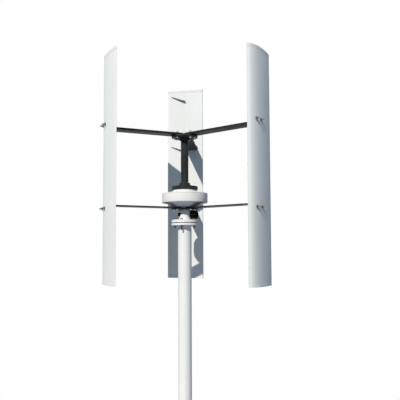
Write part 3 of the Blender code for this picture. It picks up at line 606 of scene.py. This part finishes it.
def blade_section():
    """Crowned outer face, rounded nose, and a fine groove before the tail."""
    curve = [(v, y) for v, y in crown_line(0.0, 1.0, 44) if v > NOSE_R]
    arc = [math.radians(10 * k) for k in range(9)]
    nose = [(NOSE_R * (1 - math.cos(a)), -ATTACH + NOSE_R * (1 - math.sin(a))) for a in arc]
    tail_y = CHORD - ATTACH
    lip = [(0.0008, tail_y), (0.0, tail_y - 0.0008), (0.0, tail_y - 0.0190),
           (0.0013, tail_y - 0.0195), (0.0013, tail_y - 0.0210), (0.0, tail_y - 0.0215)]
    return curve + lip + nose + [(NOSE_R, -ATTACH)]


def cell_outlines():
    outlines = []
    for s0, s1 in CELLS:
        curve = crown_line(s0, s1, 16, SKIN)
        outlines.append(curve + [(SKIN, curve[-1][1]), (SKIN, curve[0][1])])
    return outlines


def eased_prism(bm, outline, z0, z1, ease_low, ease_high):
    """Prism whose end edges are rounded by the two amounts."""
    ends = prism(bm, outline, z0, z1)
    rims = [(list(end.edges), ease) for end, ease in zip(ends, (ease_low, ease_high))]
    for edges, ease in rims:
        bmesh.ops.bevel(bm, geom=edges, offset=ease, segments=3, profile=0.5, affect="EDGES",
                        clamp_overlap=True)


def louvre_prisms(bm, top):
    """Two tapering slots through the inner skin, in the tail's half."""
    tip_y = LOUVRE_TIP * CHORD - ATTACH
    root_y = LOUVRE_ROOT * CHORD - ATTACH
    face_on = Matrix(((0, 0, 1, 0), (1, 0, 0, 0), (0, 1, 0, 0), (0, 0, 0, 1)))
    for drop in (0.0, LOUVRE_PITCH):
        level = top - drop
        outline = [(tip_y, level - 0.0390), (tip_y, level - 0.0435), (root_y, level - 0.109),
                   (root_y, level - 0.074)]
        prism(bm, outline, -0.01, SKIN + 0.0006, face_on)


def blade_bolt_spots():
    """(height, grip within the arm's tab, along chord) of a blade's four bolts."""
    lower_face = height("lower_arm_1", 1) - LOWER_ARM_T
    upper_face = height("upper_arm_1", 0) + UPPER_ARM_T
    rows = ((lower_face - TAB_BOLT_RISE, LOWER_ARM_T), (upper_face + TAB_BOLT_RISE, UPPER_ARM_T))
    return [(z, tab, side * TAB_BOLT_SPACING / 2) for z, tab in rows for side in (-1, 1)]


def build_blades():
    outline = blade_section()
    for number, angle in enumerate(BLADE_ANGLES, 1):
        place = (Matrix.Rotation(angle, 4, "Z") @ Matrix.Translation((BLADE_RADIUS, 0, 0))
                 @ Matrix.Rotation(-PITCH, 4, "Z"))
        skin_low, skin_high = (height(f"blade_{number}_skin", end) for end in (0, 1))
        bottom = height(f"blade_{number}_bottom_cap", 0)
        top = height(f"blade_{number}_top_cap", 1)
        body = bmesh.new()
        eased_prism(body, outline, skin_low, skin_high, 0.0005, 0.0005)
        hollow = bmesh.new()
        for cell in cell_outlines():
            prism(hollow, cell, skin_low - 0.01, skin_high + 0.01)
        louvre_prisms(hollow, top)
        mesh = difference(f"blade_{number}", body, hollow)
        mesh.transform(place)
        piece_of_mesh(f"blade_{number}_shell", mesh, "blade_white", "rotor",
                      [f"blade_{number}_skin"], sharp=28.0)
        ends = (("bottom", bottom, skin_low - GAP, 0.0016, 0.0005),
                ("top", skin_high + GAP, top, 0.0005, 0.0016))
        for end, z0, z1, ease_low, ease_high in ends:
            cap = bmesh.new()
            eased_prism(cap, outline, z0, z1, ease_low, ease_high)
            bmesh.ops.transform(cap, matrix=place, verts=cap.verts)
            piece(f"blade_{number}_{end}_plug", cap, "cap_white", "rotor",
                  [f"blade_{number}_{end}_cap"], sharp=28.0)
        for index, (z, tab, y) in enumerate(blade_bolt_spots(), 1):
            reach = (-BLADE_WASHER_R, 0.0, BLADE_WASHER_R)
            outer = max(crown((ATTACH + y + d) / CHORD) for d in reach)
            inner = tab + 0.0008
            spot = (place @ Matrix.Translation((-inner, y, z))
                    @ Matrix.Rotation(-math.pi / 2, 4, "Y"))
            bm = bmesh.new()
            bolt(bm, spot, inner + outer, 0.0110, nut_washer=BLADE_WASHER_R)
            piece(f"blade_{number}_stud_{index}", bm, "stainless", "rotor",
                  [f"blade_{number}_bolt_{index}"])


# ---- stage: camera, world, floor and lamps ---------------------------------------
def make_camera():
    data = bpy.data.cameras.new("camera")
    data.lens = 45.78
    data.shift_x = 0.1174
    data.shift_y = 0.0370
    camera = link(bpy.data.objects.new("camera", data))
    yaw = math.radians(3.57)
    pitch = math.radians(3.64)
    roll = math.radians(0.12)
    camera.matrix_world = (Matrix.Translation((0, -2.8647, 1.076))
                           @ Matrix.Rotation(yaw, 4, "Z")
                           @ Matrix.Rotation(math.pi / 2 + pitch, 4, "X")
                           @ Matrix.Rotation(roll, 4, "Z"))
    bpy.context.scene.camera = camera


def seen_or_reflected(nodes, links):
    """1 for rays from the camera, in reflections and through glass, 0 for the rest."""
    path = nodes.new("ShaderNodeLightPath")
    seen = path.outputs["Is Camera Ray"]
    for ray in ("Is Glossy Ray", "Is Transmission Ray"):
        either = nodes.new("ShaderNodeMath")
        either.operation = "MAXIMUM"
        links.new(seen, either.inputs[0])
        links.new(path.outputs[ray], either.inputs[1])
        seen = either.outputs[0]
    return seen


def make_world():
    """White to the camera and in reflections, and a plain cool fill to the object."""
    world = bpy.data.worlds.new("studio")
    world.use_nodes = True
    nodes = world.node_tree.nodes
    links = world.node_tree.links
    fill = nodes["Background"]
    fill.inputs["Color"].default_value = (0.53, 0.74, 1.0, 1.0)
    fill.inputs["Strength"].default_value = 0.29
    white = nodes.new("ShaderNodeBackground")
    white.inputs["Color"].default_value = (1.0, 1.0, 1.0, 1.0)
    white.inputs["Strength"].default_value = 1.0
    mix = nodes.new("ShaderNodeMixShader")
    links.new(seen_or_reflected(nodes, links), mix.inputs[0])
    links.new(fill.outputs[0], mix.inputs[1])
    links.new(white.outputs[0], mix.inputs[2])
    links.new(mix.outputs[0], nodes["World Output"].inputs["Surface"])
    bpy.context.scene.world = world


def make_floor():
    """Pale floor that keeps the shadow near the base and fades into the white round it."""
    bm = bmesh.new()
    bmesh.ops.create_circle(bm, cap_ends=True, segments=ROUND, radius=2.5)
    mesh = bpy.data.meshes.new("floor")
    bm.to_mesh(mesh)
    bm.free()
    mat = bpy.data.materials.new("floor")
    mat.use_nodes = True
    nodes = mat.node_tree.nodes
    links = mat.node_tree.links
    nodes.remove(nodes["Principled BSDF"])
    matt = nodes.new("ShaderNodeBsdfDiffuse")
    matt.inputs["Color"].default_value = (0.40, 0.40, 0.40, 1.0)
    white = nodes.new("ShaderNodeEmission")
    white.inputs["Strength"].default_value = 1.0
    coords = nodes.new("ShaderNodeTexCoord")
    reach = nodes.new("ShaderNodeVectorMath")
    reach.operation = "LENGTH"
    links.new(coords.outputs["Object"], reach.inputs[0])
    fade = nodes.new("ShaderNodeMapRange")
    fade.interpolation_type = "SMOOTHSTEP"
    for socket, number in zip(("From Min", "From Max", "To Min", "To Max"), (0.15, 0.75, 0.5, 1)):
        fade.inputs[socket].default_value = number
    links.new(reach.outputs["Value"], fade.inputs["Value"])
    share = nodes.new("ShaderNodeMath")
    share.operation = "MULTIPLY"
    links.new(fade.outputs["Result"], share.inputs[0])
    links.new(seen_or_reflected(nodes, links), share.inputs[1])
    mix = nodes.new("ShaderNodeMixShader")
    links.new(share.outputs[0], mix.inputs[0])
    links.new(matt.outputs[0], mix.inputs[1])
    links.new(white.outputs[0], mix.inputs[2])
    links.new(mix.outputs[0], nodes["Material Output"].inputs["Surface"])
    mesh.materials.append(mat)
    floor = link(bpy.data.objects.new("floor", mesh))
    floor.location.z = -GAP


def make_key():
    data = bpy.data.lights.new("key", "SUN")
    data.energy = 3.3
    data.angle = math.radians(0.7)
    data.color = (1.0, 0.955, 0.875)
    key = link(bpy.data.objects.new("key", data))
    key.rotation_euler = Vector((0.455, 1.0, -0.74)).to_track_quat("-Z", "Y").to_euler()


dress_cad_nodes()
build_mast()
build_neck()
build_fittings()
build_housing()
build_hub()
build_arms()
build_blades()
make_camera()
make_world()
make_floor()
make_key()
bpy.context.scene.view_settings.view_transform = "Standard"
